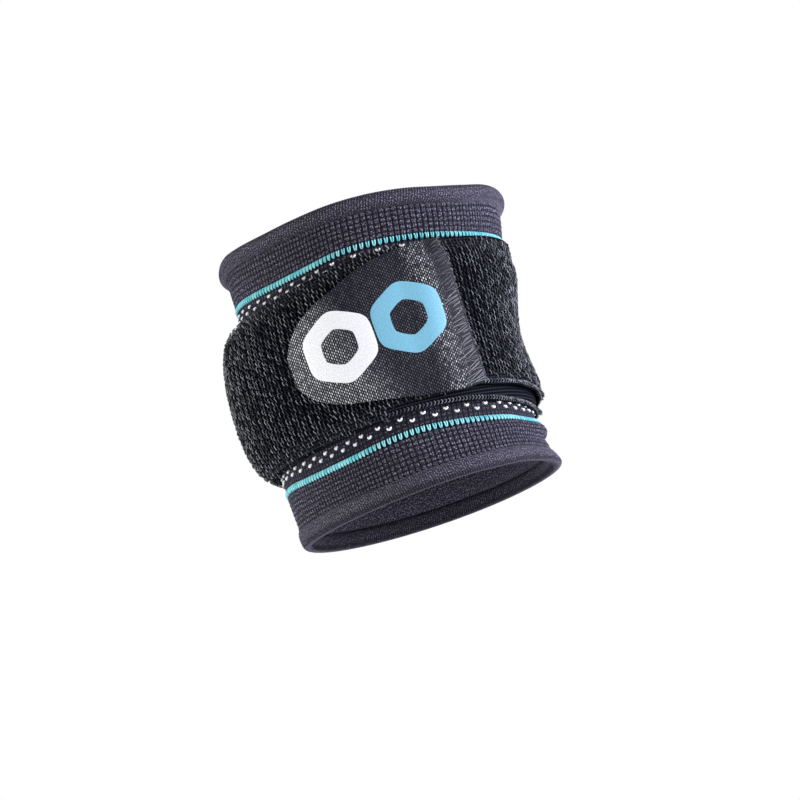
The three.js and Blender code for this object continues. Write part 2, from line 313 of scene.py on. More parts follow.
# How much narrower than a rounded nose the tab is above and below its middle line, at
# shares of TAB_LENGTH
TAB_TRIM = np.array([
    (0, 1, 1),
    (0.14, 1, 1),
    (0.27, 1, 0.96),
    (0.5, 0.96, 0.89),
    (0.64, 0.925, 0.88),
    (0.77, 0.96, 0.915),
    (0.9, 1, 0.965),
    (1, 1, 1),
])

# Camera, fitted to the photograph's outline of the band
CAMERA_BELOW = math.radians(12.33)
CAMERA_ROLL = math.radians(15.13)
CAMERA_AWAY = 900
CAMERA_LENS = 129.6
CAMERA_SENSOR = 36
AIM_RIGHT = 1.78
AIM_UP = -9.19


def make_camera():
    back = Vector((0, -math.cos(CAMERA_BELOW), -math.sin(CAMERA_BELOW)))
    right = Vector((1, 0, 0))
    up = back.cross(right)
    side = right * math.cos(CAMERA_ROLL) - up * math.sin(CAMERA_ROLL)
    above = right * math.sin(CAMERA_ROLL) + up * math.cos(CAMERA_ROLL)
    place = back * CAMERA_AWAY * MM
    aim = (side * AIM_RIGHT + above * AIM_UP) * MM
    axis_z = (place - aim).normalized()
    axis_x = above.cross(axis_z).normalized()
    axis_y = axis_z.cross(axis_x)
    turned = Matrix((axis_x, axis_y, axis_z)).transposed().to_4x4()
    data = bpy.data.cameras.new("camera")
    data.lens = CAMERA_LENS
    data.sensor_width = CAMERA_SENSOR
    camera = bpy.data.objects.new("camera", data)
    camera.matrix_world = Matrix.Translation(place) @ turned
    bpy.context.scene.collection.objects.link(camera)
    bpy.context.scene.camera = camera


make_camera()


# Numbers

def smoothstep(value, low, high):
    share = np.clip((value - low) / (high - low), 0, 1)
    return share * share * (3 - 2 * share)


def smooth_curve(places, values):
    """A smooth curve through the values, flat outside them."""
    slopes = np.zeros(len(values))
    slopes[1:-1] = (values[2:] - values[:-2]) / (places[2:] - places[:-2])
    slopes[0] = (values[1] - values[0]) / (places[1] - places[0])
    slopes[-1] = (values[-1] - values[-2]) / (places[-1] - places[-2])

    def curve(place):
        place = np.clip(place, places[0], places[-1])
        i = np.clip(np.searchsorted(places, place, side="right") - 1, 0, len(places) - 2)
        span = places[i + 1] - places[i]
        t = (place - places[i]) / span
        start = (1 + 2 * t) * (1 - t) ** 2 * values[i] + t * (1 - t) ** 2 * span * slopes[i]
        end = t * t * (3 - 2 * t) * values[i + 1] + t * t * (t - 1) * span * slopes[i + 1]
        return start + end

    return curve


left_share = smooth_curve(SECTIONS[:, 0], SECTIONS[:, 1])
right_share = smooth_curve(SECTIONS[:, 0], SECTIONS[:, 2])
deep_share = smooth_curve(SECTIONS[:, 0], SECTIONS[:, 3])
lean_at = smooth_curve(SECTIONS[:, 0], SECTIONS[:, 4])
rise_share = smooth_curve(STRAP_RUN[:, 0], STRAP_RUN[:, 1])
wide_share = smooth_curve(STRAP_RUN[:, 0], STRAP_RUN[:, 2])
crown_share = smooth_curve(STRAP_RUN[:, 0], STRAP_RUN[:, 3])
upper_trim = smooth_curve(TAB_TRIM[:, 0], TAB_TRIM[:, 1])
lower_trim = smooth_curve(TAB_TRIM[:, 0], TAB_TRIM[:, 2])
wale_turn = smooth_curve(WALE_PLACES[:, 0], WALE_PLACES[:, 1])
wanders = [smooth_curve(WANDERS[:, 0], WANDERS[:, k]) for k in range(1, 6)]


# The tube's surface

def between(angle, at):
    return (angle - at + 180) % 360 - 180


def fold_at(angle, height):
    aside = between(angle, 0) / CROOK_SPREAD
    out = -CROOK_DEPTH * np.exp(-(aside ** 2) - (height / CROOK_HEIGHT) ** 2)
    for at, spread, up, tall, share in FOLDS:
        side = between(angle, at) / spread
        over = (height + up * BOTTOM) / (tall * LOWER_RIB)
        out = out + share * KNIT_WALL * np.exp(-(side ** 2) - over ** 2)
    return out


def on_tube(angle, height, offset):
    """Points at angles in degrees, heights and offsets out from the knit's face."""
    angle, height, offset = np.broadcast_arrays(angle, height, offset)
    up = np.where(height > 0, height / TOP, height / BOTTOM)
    left = left_share(up) * HALF_WIDTH
    right = right_share(up) * HALF_WIDTH
    wide = (left + right) / 2
    deep = deep_share(up) * HALF_DEPTH
    turn = np.radians(angle)
    across = np.cos(turn) / wide
    along = np.sin(turn) / deep
    length = np.hypot(across, along)
    out = offset + fold_at(angle, height)
    x = (right - left) / 2 + wide * np.cos(turn) + out * across / length
    y = deep * np.sin(turn) + out * along / length
    return np.stack([x, y, height + lean_at(up) * x], axis=-1)


def on_knit(angle, height, offset):
    """Points of the knit, whose hems and courses wander up and down round the tube."""
    angle, height = np.broadcast_arrays(angle, height)
    turn = between(angle, 0)
    at = (-BOTTOM + LOWER_HEM, LOWER_COURSE_AT, 0, UPPER_COURSE_AT, TOP - UPPER_HEM)
    share = np.interp(height, at, range(len(at)))
    lower = np.clip(share.astype(int), 0, len(at) - 2)
    shifts = np.stack([curve(turn) for curve in wanders])
    first = np.take_along_axis(shifts, lower[None], 0)[0]
    second = np.take_along_axis(shifts, lower[None] + 1, 0)[0]
    shift = first + (second - first) * (share - lower)
    return on_tube(angle, height + WANDER * shift, offset)


# The strap's surface

def strap_middle(turn):
    return rise_share(turn) * STRAP_WIDTH


def across_strap(turn, height):
    return (height - strap_middle(turn)) / (wide_share(turn) * STRAP_WIDTH / 2)


def strap_thickness(turn, height):
    across = np.minimum(np.abs(across_strap(turn, height)), 1)
    selvage = smoothstep(across, 1 - SELVAGE_WIDTH / (STRAP_WIDTH / 2), 1)
    edge = 1 + (SELVAGE_THICKNESS / STRAP_THICKNESS - 1) * selvage
    sewn = smoothstep(turn, TAB_EDGE, TAB_EDGE + SEWN_RAMP)
    return edge * (SEWN_THICKNESS + (STRAP_THICKNESS - SEWN_THICKNESS) * sewn)


def strap_own(turn, height):
    share = np.minimum(np.abs(across_strap(turn, height)), 1)
    return crown_share(turn) * STRAP_CROWN * np.sqrt(1 - share ** DOME_POWER)


def strap_base(turn, height):
    """How far the strap's inner face stands off the knit, on its own first turn or not."""
    turn, height = np.broadcast_arrays(turn, height)
    own = strap_own(turn, height)
    first = np.minimum(turn + 360, STRAP_END)
    under = FIT_GAP + strap_own(first, height) + strap_thickness(first, height)
    down = smoothstep(turn, STRAP_END - 360, LAP_LANDS)
    lapped = under + (own - under) * down
    return FIT_GAP + np.where(turn >= LAP_LANDS, own, lapped)


def strap_face(turn, height):
    return strap_base(turn, height) + strap_thickness(turn, height)


# The tab's surface

def tab_half_height(distance, above):
    """The tab's height above or below its middle line: straight, then a rounded nose."""
    share = np.maximum(distance - TAB_STRAIGHT, 0) / TAB_NOSE
    along = distance / TAB_LENGTH
    trim = np.where(above, upper_trim(along), lower_trim(along))
    return trim * TAB_HEIGHT / 2 * np.sqrt(np.maximum(1 - share ** 2, 0))


def on_tab(distance, up, above):
    """Points at distances from the tab's sewn edge, heights up its face, and above it."""
    angle = TAB_EDGE - np.degrees((distance + TAB_SLOPE * up) / TAB_RADIUS)
    height = strap_middle(STRAP_START) - TAB_SLOPE * distance + up
    rise = smoothstep(angle, STRAP_START - TAB_RAMP_FAR, STRAP_START - TAB_RAMP_NEAR)
    base = strap_face(angle + 360, height) + FIT_GAP + rise * (SEWN_THICKNESS + FIT_GAP)
    return on_tube(angle, height, base + TAB_THICKNESS + above)


# Meshes

def make_mesh(name, points, quads, corner_uv, material, shade=None):
    """A smooth mesh from points in mm and quads, with a UV for each corner."""
    mesh = bpy.data.meshes.new(name)
    mesh.vertices.add(len(points))
    mesh.vertices.foreach_set("co", np.ascontiguousarray(points * MM, np.float32).ravel())
    mesh.loops.add(quads.size)
    mesh.loops.foreach_set("vertex_index", quads.astype(np.int32).ravel())
    mesh.polygons.add(len(quads))
    mesh.polygons.foreach_set("loop_start", np.arange(0, quads.size, 4, dtype=np.int32))
    mesh.update(calc_edges=True)
    mesh.polygons.foreach_set("use_smooth", np.ones(len(quads), bool))
    layer = mesh.uv_layers.new(name="UVMap")
    layer.data.foreach_set("uv", corner_uv.astype(np.float32).ravel())
    if shade is not None:
        values = mesh.attributes.new("shade", "FLOAT", "POINT")
        values.data.foreach_set("value", shade.astype(np.float32).ravel())
    mesh.materials.append(material)
    piece = bpy.data.objects.new(name, mesh)
    bpy.context.scene.collection.objects.link(piece)
    return piece


def ring_quads(rows, columns):
    """Quads of a grid that closes on itself both ways, with each corner's row and column."""
    i, j = np.meshgrid(np.arange(rows), np.arange(columns), indexing="ij")
    rows_at = np.stack([i, i, i + 1, i + 1], axis=-1).reshape(-1, 4)
    columns_at = np.stack([j, j + 1, j + 1, j], axis=-1).reshape(-1, 4)
    return (rows_at % rows) * columns + columns_at % columns, rows_at, columns_at


def make_ring(name, angles, heights, offsets, material, shade=None):
    """A closed ring on the tube: one row for each height, one column for each angle."""
    points = on_knit(angles[None, :] + WALE_LEAN * heights[:, None], heights[:, None], offsets)
    rows, columns = points.shape[:2]
    quads, rows_at, columns_at = ring_quads(rows, columns)
    tall = np.diff(heights, append=heights[0])
    deep = np.diff(offsets[:, 0], append=offsets[0, 0])
    along = np.concatenate([[0], np.cumsum(np.hypot(tall, deep))])
    u = columns_at / columns * WALES
    corner_uv = np.stack([u, along[rows_at]], axis=-1)
    return make_mesh(name, points.reshape(-1, 3), quads, corner_uv, material, shade)


def make_slab(name, upper, lower, uv, material, shade=None):
    """A closed slab between two grids of points, with the grid's UV on both."""
    rows, columns = upper.shape[:2]
    count = rows * columns
    i, j = np.meshgrid(np.arange(rows - 1), np.arange(columns - 1), indexing="ij")
    start = (i * columns + j).ravel()
    face = np.stack([start, start + 1, start + columns + 1, start + columns], axis=-1)
    border = np.concatenate([
        np.arange(columns),
        np.arange(1, rows) * columns + columns - 1,
        (rows - 1) * columns + np.arange(columns - 2, -1, -1),
        np.arange(rows - 2, 0, -1) * columns,
    ])
    after = np.roll(border, -1)
    wall = np.stack([border, border + count, after + count, after], axis=-1)
    quads = np.concatenate([face, face[:, ::-1] + count, wall])
    points = np.concatenate([upper.reshape(-1, 3), lower.reshape(-1, 3)])
    both = np.concatenate([uv.reshape(-1, 2)] * 2)
    values = None if shade is None else np.concatenate([shade.ravel()] * 2)
    return make_mesh(name, points, quads, both[quads], material, values)


def make_tubes(name, lines, radius, sides, beside, material, shade):
    """Round yarn along many lines (line, point, xyz). beside points across each line."""
    count, steps = lines.shape[:2]
    tangent = np.gradient(lines, axis=1)
    tangent /= np.linalg.norm(tangent, axis=-1, keepdims=True)
    normal = np.cross(tangent, beside)
    normal /= np.linalg.norm(normal, axis=-1, keepdims=True)
    other = np.cross(normal, tangent)
    turn = np.arange(sides) * 2 * math.pi / sides
    spokes = normal[:, :, None] * np.cos(turn)[:, None]
    spokes = spokes + other[:, :, None] * np.sin(turn)[:, None]
    points = lines[:, :, None] + spokes * radius
    i, j = np.meshgrid(np.arange(steps - 1), np.arange(sides), indexing="ij")
    after = (j + 1) % sides
    ring = i * sides
    later = ring + sides
    one = np.stack([ring + j, ring + after, later + after, later + j], -1).reshape(1, -1, 4)
    quads = (one + np.arange(count)[:, None, None] * steps * sides).reshape(-1, 4)
    uv = np.stack(np.broadcast_arrays(np.arange(sides) / sides, np.arange(steps)[:, None]), -1)
    both = np.tile(uv.reshape(-1, 2), (count, 1))
    values = np.repeat(shade, steps * sides)
    return make_mesh(name, points.reshape(-1, 3), quads, both[quads], material, values)


# Materials

class Graph:
    """Adds nodes to one new material, each joined to the sockets or set to the values given."""

    def __init__(self, name):
        self.material = bpy.data.materials.new(name)
        self.material.use_nodes = True
        self.tree = self.material.node_tree
        self.surface = self.tree.nodes["Principled BSDF"]

    def put(self, socket, value):
        if isinstance(value, bpy.types.NodeSocket):
            self.tree.links.new(value, socket)
        else:
            socket.default_value = value

    def math(self, operation, *values):
        node = self.tree.nodes.new("ShaderNodeMath")
        node.operation = operation
        for socket, value in zip(node.inputs, values):
            self.put(socket, value)
        return node.outputs[0]

    def add(self, first, second):
        return self.math("ADD", first, second)

    def multiply(self, first, second):
        return self.math("MULTIPLY", first, second)

    def waves(self, value, pace):
        return self.math("SINE", self.multiply(value, pace))

    def ramp(self, value, low, high, to_low=0.0, to_high=1.0):
        node = self.tree.nodes.new("ShaderNodeMapRange")
        node.interpolation_type = "SMOOTHSTEP"
        self.put(node.inputs["Value"], value)
        self.put(node.inputs["From Min"], low)
        self.put(node.inputs["From Max"], high)
        self.put(node.inputs["To Min"], to_low)
        self.put(node.inputs["To Max"], to_high)
        return node.outputs[0]

    def uv(self):
        node = self.tree.nodes.new("ShaderNodeUVMap")
        node.uv_map = "UVMap"
        return node.outputs[0]

    def uv_parts(self):
        node = self.tree.nodes.new("ShaderNodeSeparateXYZ")
        self.put(node.inputs[0], self.uv())
        return node.outputs[0], node.outputs[1]

    def place(self):
        node = self.tree.nodes.new("ShaderNodeTexCoord")
        return node.outputs["Object"]

    def shade(self):
        node = self.tree.nodes.new("ShaderNodeAttribute")
        node.attribute_name = "shade"
        return node.outputs["Fac"]

    def vector(self, x, y):
        node = self.tree.nodes.new("ShaderNodeCombineXYZ")
        self.put(node.inputs[0], x)
        self.put(node.inputs[1], y)
        return node.outputs[0]

    def noise(self, vector, scale, detail):
        node = self.tree.nodes.new("ShaderNodeTexNoise")
        self.put(node.inputs["Vector"], vector)
        self.put(node.inputs["Scale"], scale)
        self.put(node.inputs["Detail"], detail)
        return node.outputs["Fac"]

    def fibres(self, u, v, across, along):
        """Fine noise with so many grains a wale and a mm, drawn out along the yarns."""
        return self.noise(self.vector(self.multiply(u, across), self.multiply(v, along)), 1.0, 3.0)

    def scatter(self, vector):
        node = self.tree.nodes.new("ShaderNodeTexWhiteNoise")
        node.noise_dimensions = "2D"
        self.put(node.inputs["Vector"], vector)
        return node.outputs["Value"]

    def mix(self, share, first, second):
        node = self.tree.nodes.new("ShaderNodeMix")
        node.data_type = "RGBA"
        self.put(node.inputs[0], share)
        self.put(node.inputs[6], first)
        self.put(node.inputs[7], second)
        return node.outputs[2]

    def finish(self, colour, roughness, specular, bump=None, depth=0.1, sheen=0.0):
        """Joins the surface's values. depth is the bump's, in mm."""
        self.put(self.surface.inputs["Base Color"], colour)
        self.put(self.surface.inputs["Roughness"], roughness)
        self.put(self.surface.inputs["Specular IOR Level"], specular)
        self.put(self.surface.inputs["Sheen Weight"], sheen)
        self.put(self.surface.inputs["Sheen Roughness"], SHEEN_ROUGHNESS)
        self.put(self.surface.inputs["Sheen Tint"], SHEEN_TINT)
        if bump is not None:
            node = self.tree.nodes.new("ShaderNodeBump")
            self.put(node.inputs["Height"], bump)
            self.put(node.inputs["Distance"], depth * MM)
            self.put(self.surface.inputs["Normal"], node.outputs[0])
        return self.material


def knit_material():
    """Two light legs on each wale, with painted shade in the gaps and between the legs, and
    painted highlights on bump tops and loose fibres.
    """
    gap_shade = (0.004, 0.004, 0.009, 1)
    leg_groove_shade = (0.008, 0.007, 0.013, 1)
    dark = (0.006, 0.0055, 0.01, 1)
    plain = (0.019, 0.017, 0.028, 1)
    bump_highlight = (0.24, 0.225, 0.3, 1)
    fibre_glint = (0.29, 0.272, 0.365, 1)
    graph = Graph("knit")
    u, v = graph.uv_parts()
    fibres = graph.fibres(u, v, 5.0, 1.8)
    legs = graph.math("ABSOLUTE", graph.waves(u, 2 * math.pi))
    body = graph.mix(graph.noise(graph.place(), 260, 3.0), dark, plain)
    # Painted glints on loose fibres, where the fibre noise is high
    body = graph.mix(graph.ramp(fibres, 0.49, 0.66), body, fibre_glint)
    # Painted highlight on the tops of the bumps
    body = graph.mix(graph.ramp(graph.shade(), 0.8, 1.0, 0.0, 0.22), body, bump_highlight)
    # Painted shade in the groove between each wale's two legs
    body = graph.mix(graph.ramp(legs, 0.0, 0.8, 0.45, 1.0), leg_groove_shade, body)
    # Painted shade in the gaps between the bumps
    colour = graph.mix(graph.ramp(graph.shade(), 0.15, 0.8), gap_shade, body)
    return graph.finish(
        colour, roughness=0.8, specular=0.2, bump=graph.add(fibres, legs), depth=0.12, sheen=0.3,
    )


def hem_material():
    """Plain knit with painted glints on loose fibres, and painted shade between its fine lines."""
    gap_shade = (0.008, 0.007, 0.013, 1)
    dark = (0.006, 0.0055, 0.01, 1)
    plain = (0.02, 0.018, 0.029, 1)
    fibre_glint = (0.28, 0.26, 0.346, 1)
    graph = Graph("hem")
    u, v = graph.uv_parts()
    fibres = graph.fibres(u, v, 8.0, 2.2)
    body = graph.mix(graph.noise(graph.place(), 240, 2.0), dark, plain)
    # Painted glints on loose fibres
    body = graph.mix(graph.ramp(fibres, 0.52, 0.62), body, fibre_glint)
    # Painted shade between the fine lines and along the rim
    colour = graph.mix(graph.ramp(graph.shade(), 0.0, 0.7), gap_shade, body)
    return graph.finish(colour, roughness=0.75, specular=0.25, bump=fibres, depth=0.12, sheen=0.3)


def yarn_material(name, dark, light, roughness=0.55, specular=0.3, sheen=0.0):
    """Twisted yarn, between dark and light by each stitch's shade, which is a random tone, and on
    the strap's loops a painted glint.
    """
    graph = Graph(name)
    colour = graph.mix(graph.shade(), dark, light)
    u, v = graph.uv_parts()
    strands = graph.waves(graph.add(u, graph.multiply(v, 0.35)), 25.0)
    return graph.finish(colour, roughness, specular, bump=strands, depth=0.03, sheen=sheen)


def tape_material():
    """Black between the loops, and faintly ribbed where the strap's border is bare."""
    ground = (0.0014, 0.002, 0.0045, 1)
    rib_dark = (0.003, 0.0035, 0.006, 1)
    rib_light = (0.026, 0.028, 0.036, 1)
    graph = Graph("tape")
    u, v = graph.uv_parts()
    ribs = graph.waves(v, 6.5)
    marks = graph.multiply(graph.waves(u, 6.0), 0.5)
    ribbed = graph.mix(graph.ramp(graph.add(ribs, marks), -0.2, 1.4), rib_dark, rib_light)
    colour = graph.mix(graph.ramp(graph.shade(), 0.8, 0.87), ground, ribbed)
    return graph.finish(colour, roughness=0.9, specular=0.03, bump=ribs, depth=0.12)


def satin_material():
    """Short bright yarns in staggered rows on a dark ground, with a painted sheen that makes them
    brightest near both ends.
    """
    ground = (0.003, 0.003, 0.006, 1)
    edge_band = (0.012, 0.012, 0.018, 1)
    dim_from = (0.022, 0.025, 0.036, 1)
    dim_to = (0.095, 0.1, 0.122, 1)
    sheen_from = (0.22, 0.225, 0.24, 1)
    sheen_to = (0.9, 0.91, 0.94, 1)
    graph = Graph("satin")
    u, v = graph.uv_parts()
    column = graph.math("DIVIDE", u, SATIN_COLUMN)
    column_at = graph.math("FLOOR", column)
    row = graph.add(graph.math("DIVIDE", v, SATIN_ROW), graph.multiply(column_at, 0.5))
    aside = graph.math("SUBTRACT", graph.math("FRACT", column), 0.5)
    above = graph.math("SUBTRACT", graph.math("FRACT", row), 0.5)
    across = graph.math("POWER", graph.multiply(aside, 2.6), 2.0)
    along = graph.math("POWER", graph.multiply(above, 2.0), 2.0)
    far = graph.math("SQRT", graph.add(across, along))
    yarn = graph.ramp(far, 0.3, 1.0, 1.0, 0.0)
    # Painted sheen, strongest towards the nose and in patches beside the sewn edge
    nose = graph.ramp(graph.math("SUBTRACT", u, graph.multiply(v, 0.35)), 28.0, 44.0)
    beside_edge = graph.multiply(graph.ramp(u, 3.5, 7.0), graph.ramp(u, 9.0, 15.0, 1.0, 0.0))
    patches = graph.noise(graph.vector(graph.add(u, graph.multiply(v, 0.5)), v), 0.9, 3.0)
    sparkle = graph.multiply(beside_edge, graph.ramp(patches, 0.35, 0.65))
    painted_sheen_mask = graph.math("MAXIMUM", nose, sparkle)
    lot = graph.scatter(graph.vector(column_at, graph.math("FLOOR", row)))
    dim = graph.mix(lot, dim_from, dim_to)
    painted_sheen = graph.mix(lot, sheen_from, sheen_to)
    cloth = graph.mix(yarn, ground, graph.mix(painted_sheen_mask, dim, painted_sheen))
    colour = graph.mix(graph.ramp(u, 2.5, 6.0, 0.25, 1.0), edge_band, cloth)
    return graph.finish(colour, roughness=0.5, specular=0.12, bump=yarn, depth=0.15)


def print_material(name, colour):
    """Print that is worn a little thin in patches."""
    graph = Graph(name)
    worn = graph.noise(graph.uv(), 2.2, 4.0)
    dull = tuple(0.8 * part for part in colour[:3]) + (1,)
    patchy = graph.mix(graph.ramp(worn, 0.35, 0.7), dull, colour)
    return graph.finish(patchy, roughness=0.5, specular=0.3, bump=worn, depth=0.05)


def plain_material(name, colour, roughness):
    return Graph(name).finish(colour, roughness, specular=0.3)


# Knitted tube

def smooth_profile(corners, steps):
    """A closed smooth line through closed corners, with so many steps from each to the next."""
    corners = np.array(corners, float)
    before, after, later = (np.roll(corners, -k, axis=0) for k in (-1, 1, 2))
    t = (np.arange(steps) / steps)[:, None]
    points = []
    for a, b, c, d in zip(before, corners, after, later):
        square = (2 * a - 5 * b + 4 * c - d) * t ** 2
        cube = (3 * b - a - 3 * c + d) * t ** 3
        points.append(0.5 * (2 * b + (c - a) * t + square + cube))
    return np.concatenate(points)


def rib_relief(heights, start, end):
    """Rounded upright bumps between two heights, from 0 in the gaps to 1 on the bumps."""
    wale = np.arange(WALES * WALE_COLUMNS) / WALE_COLUMNS % 1
    rows = round((end - start) / RIB_ROW)
    row = ((heights - start) / (end - start) * rows) % 1
    across = np.sin(wale * math.pi) ** 0.6
    along = np.clip(np.sin(row * math.pi), 0, 1) ** 0.4
    inside = (heights >= start) & (heights <= end)
    return np.where(inside[:, None], across * along[:, None], 0)


def make_sleeve(material):
    """The knit, ribbed at both ends, with whole samples on each of a rib's rows of bumps."""
    angles = wale_turn(np.arange(WALES * WALE_COLUMNS) / WALE_COLUMNS)
    low = -BOTTOM + LOWER_HEM
    high = TOP - UPPER_HEM
    groove = COURSE_HEIGHT / 2
    bands = (
        (low, LOWER_COURSE_AT - groove, 36, 1),
        (LOWER_COURSE_AT - groove, LOWER_COURSE_AT + groove, 5, 0),
        (LOWER_COURSE_AT + groove, UNDER_STRAP_LOW, 16, BESIDE_RELIEF),
        (UNDER_STRAP_LOW, UNDER_STRAP_HIGH, 6, 0),
        (UNDER_STRAP_HIGH, UPPER_COURSE_AT - groove, 13, BESIDE_RELIEF),
        (UPPER_COURSE_AT - groove, UPPER_COURSE_AT + groove, 5, 0),
        (UPPER_COURSE_AT + groove, high, 31, 1),
    )
    steps = [np.linspace(start, end, rows)[1:] for start, end, rows, _ in bands]
    outer = np.concatenate([[low], *steps])
    relief = sum(share * rib_relief(outer, start, end) for start, end, _, share in bands)
    inner = np.linspace(high, low, LINING_ROWS)
    heights = np.concatenate([outer, inner])
    lining = np.full((len(inner), len(angles)), -KNIT_WALL)
    offsets = np.concatenate([(relief - RIB_SUNK) * RIB_RELIEF, lining])
    # The relief is also the shade attribute, from which the knit material paints shade in the gaps
    # and highlights on the bump tops
    shade = np.concatenate([relief, np.full(lining.shape, LINING_SHADE)])
    return make_ring("sleeve_knit", angles, heights, offsets, material, shade)


def make_hem(name, low, high, roll, slant, material):
    """A rolled hem with fine slanted lines, which are deepest along its rim."""
    tall = high - low
    rim = low if low < 0 else high
    profile = smooth_profile([
        (roll * 0.35, low),
        (roll * 0.95, low + tall * 0.25),
        (roll, low + tall * 0.6),
        (roll * 0.5, high - tall * 0.08),
        (-KNIT_WALL * 0.4, high),
        (-KNIT_WALL, high - tall * 0.2),
        (-KNIT_WALL, low + tall * 0.2),
        (-KNIT_WALL * 0.7, low),
    ], HEM_STEPS)
    columns = 4 * HEM_LINES
    angles = np.arange(columns) * 360 / columns
    aside = (profile[:, 1] - low) * slant
    line = np.cos(2 * math.pi * (angles[None, :] * HEM_LINES / 360 + aside[:, None]))
    notch = 1 - smoothstep(np.abs(profile[:, 1] - rim) / tall, *RIM_NOTCH_FADES)[:, None]
    offsets = profile[:, :1] + (HEM_LINE_DEPTH + RIM_NOTCH_DEPTH * notch) * line
    # Painted shade between the fine lines, darkest along the rim
    shade = (line + 1) / 2 * (1 - 0.5 * notch) - RIM_DARKER * notch
    return make_ring(name, angles, profile[:, 1], offsets, material, shade)


def round_the_tube(angles):
    """Directions round the tube at angles in degrees."""
    turn = np.radians(angles)
    return np.stack([-np.sin(turn), np.cos(turn), np.zeros_like(turn)], axis=-1)


def every_wale(step=1, start=0.5):
    return np.arange(WALES // step) * step + start


def make_stitches(name, wales, height, shape, radius, sides, material):
    """One stitch at each wale. shape is points of (wales aside, mm up, mm out)."""
    aside, up, out = np.array(shape, float).T
    turn = wale_turn((wales[:, None] + aside[None, :]) % WALES) + WALE_LEAN * (height + up)
    lines = on_knit(turn, height + np.broadcast_to(up, turn.shape), out)
    inward = -np.stack([np.cos(np.radians(turn)), np.sin(np.radians(turn)), 0 * turn], axis=-1)
    shade = rng.uniform(0, 1, len(wales))
    return make_tubes(name, lines, radius, sides, inward, material, shade)


def make_courses(material):
    """A V of yarn on every wale along both courses."""
    return [
        make_stitches(name, every_wale(), at, STITCH_V, COURSE_YARN, 5, material)
        for name, at in (
            ("upper_course_yarn", UPPER_COURSE_AT),
            ("lower_course_yarn", LOWER_COURSE_AT),
        )
    ]


def make_dots(material):
    """Two staggered rows of plump stitches on the strap's side of each course."""
    dots = []
    for name, at, way, rows in (
        ("upper", UPPER_COURSE_AT, -1, UPPER_DOTS),
        ("lower", LOWER_COURSE_AT, 1, LOWER_DOTS),
    ):
        for row, (away, start) in enumerate(rows):
            wales = every_wale(DOT_WALES, start)
            piece = f"{name}_dots_{row + 1}"
            height = at + way * away
            dots.append(make_stitches(piece, wales, height, DOT_U, DOT_YARN, 5, material))
    return dots


def make_links(material):
    """The chain of stitches that joins each hem to its rib."""
    upper = TOP - UPPER_HEM - UPPER_LINK_OFF
    lower = -BOTTOM + LOWER_HEM + LOWER_LINK_OFF
    return [
        make_stitches("upper_link", every_wale(), upper, CHAIN, UPPER_LINK_YARN, 4, material),
        make_stitches("lower_link", every_wale(), lower, CHAIN, LOWER_LINK_YARN, 4, material),
    ]


# Strap

def tape_face(turn, height):
    """How far off the knit the face of the strap's cloth is, which the loops stand on."""
    return strap_base(turn, height) + strap_thickness(turn, height) * TAPE_SHARE


def make_tape(material):
    """The strap's cloth, in one piece from its sewn end round to its inner end."""
    turns = np.linspace(STRAP_START, STRAP_END, 232)[:, None]
    shares = np.sin(np.linspace(-0.5, 0.5, 31) * math.pi)[None, :]
    heights = strap_middle(turns) + shares * wide_share(turns) * STRAP_WIDTH / 2
    upper = on_tube(turns, heights, tape_face(turns, heights))[:, ::-1]
    lower = on_tube(turns, heights, strap_base(turns, heights))[:, ::-1]
    uv = np.stack(np.broadcast_arrays(np.radians(turns) * TAB_RADIUS, heights), axis=-1)
    shade = np.broadcast_to(np.abs(shares), heights.shape)
    return make_slab("strap_tape", upper, lower, uv[:, ::-1], material, shade[:, ::-1])


def under_tab(turn, height):
    """Whether the tab covers places on the strap's first turn, well inside its edge."""
    distance = (TAB_EDGE - (turn - 360)) * math.pi / 180 * TAB_RADIUS
    up = height - strap_middle(STRAP_START) + TAB_SLOPE * distance
    reach = tab_half_height(np.maximum(distance, 0), up > 0) - TAB_BORDER
    return (distance > 0) & (distance < TAB_LENGTH - TAB_BORDER) & (np.abs(up) < reach)


def loop_places():
    """Turns and heights of the loops that show, in columns along the arm."""
    step = math.degrees(LOOP_PITCH / TAB_RADIUS)
    turns = np.arange(TAB_EDGE + 1, STRAP_START + 360, step)
    rows = np.arange(-STRAP_WIDTH / 2, STRAP_WIDTH / 2, LOOP_ROW)
    turn, row = np.meshgrid(turns, rows, indexing="ij")
    row = row + rng.uniform(0, LOOP_ROW, (len(turns), 1))
    turn, row = turn.ravel(), row.ravel()
    turn = turn + rng.normal(0, LOOP_STRAY, turn.size) * step
    row = row + rng.normal(0, ROW_STRAY, row.size) * LOOP_ROW
    height = strap_middle(turn) + row * wide_share(turn)
    bare = turn > BARE_FROM + rng.uniform(-BARE_RAGGED, BARE_RAGGED, turn.size)
    outer = turn < OUTER_UNTIL
    lowest = np.where(bare, BARE_LOWEST, np.where(outer, OUTER_LOWEST, LOOPS_LOWEST))
    highest = np.where(outer, OUTER_HIGHEST, LOOPS_HIGHEST)
    across = across_strap(turn, height)
    kept = (across < highest) & (across > lowest) & ~under_tab(turn, height)
    return turn[kept], height[kept]


def loop_lines(turn, height, aside, along, out):
    """The line of each loop, from its points' places aside, along the arm and out."""
    count = len(turn)
    size = rng.normal(1, LOOP_SIZE_SPREAD, (count, 1)).clip(0.7, 1.3)
    twist = rng.normal(0, LOOP_TWIST, (count, 1))
    aside, along = aside * size, along * size
    round_by = (aside * np.cos(twist) + along * np.sin(twist)) / TAB_RADIUS
    heights = height[:, None] + along * np.cos(twist) - aside * np.sin(twist)
    stand = tape_face(turn, height)[:, None] - LOOP_SUNK
    rise = out * rng.normal(1, PILE_SPREAD, (count, 1))
    return on_tube(turn[:, None] + np.degrees(round_by), heights, stand + rise)


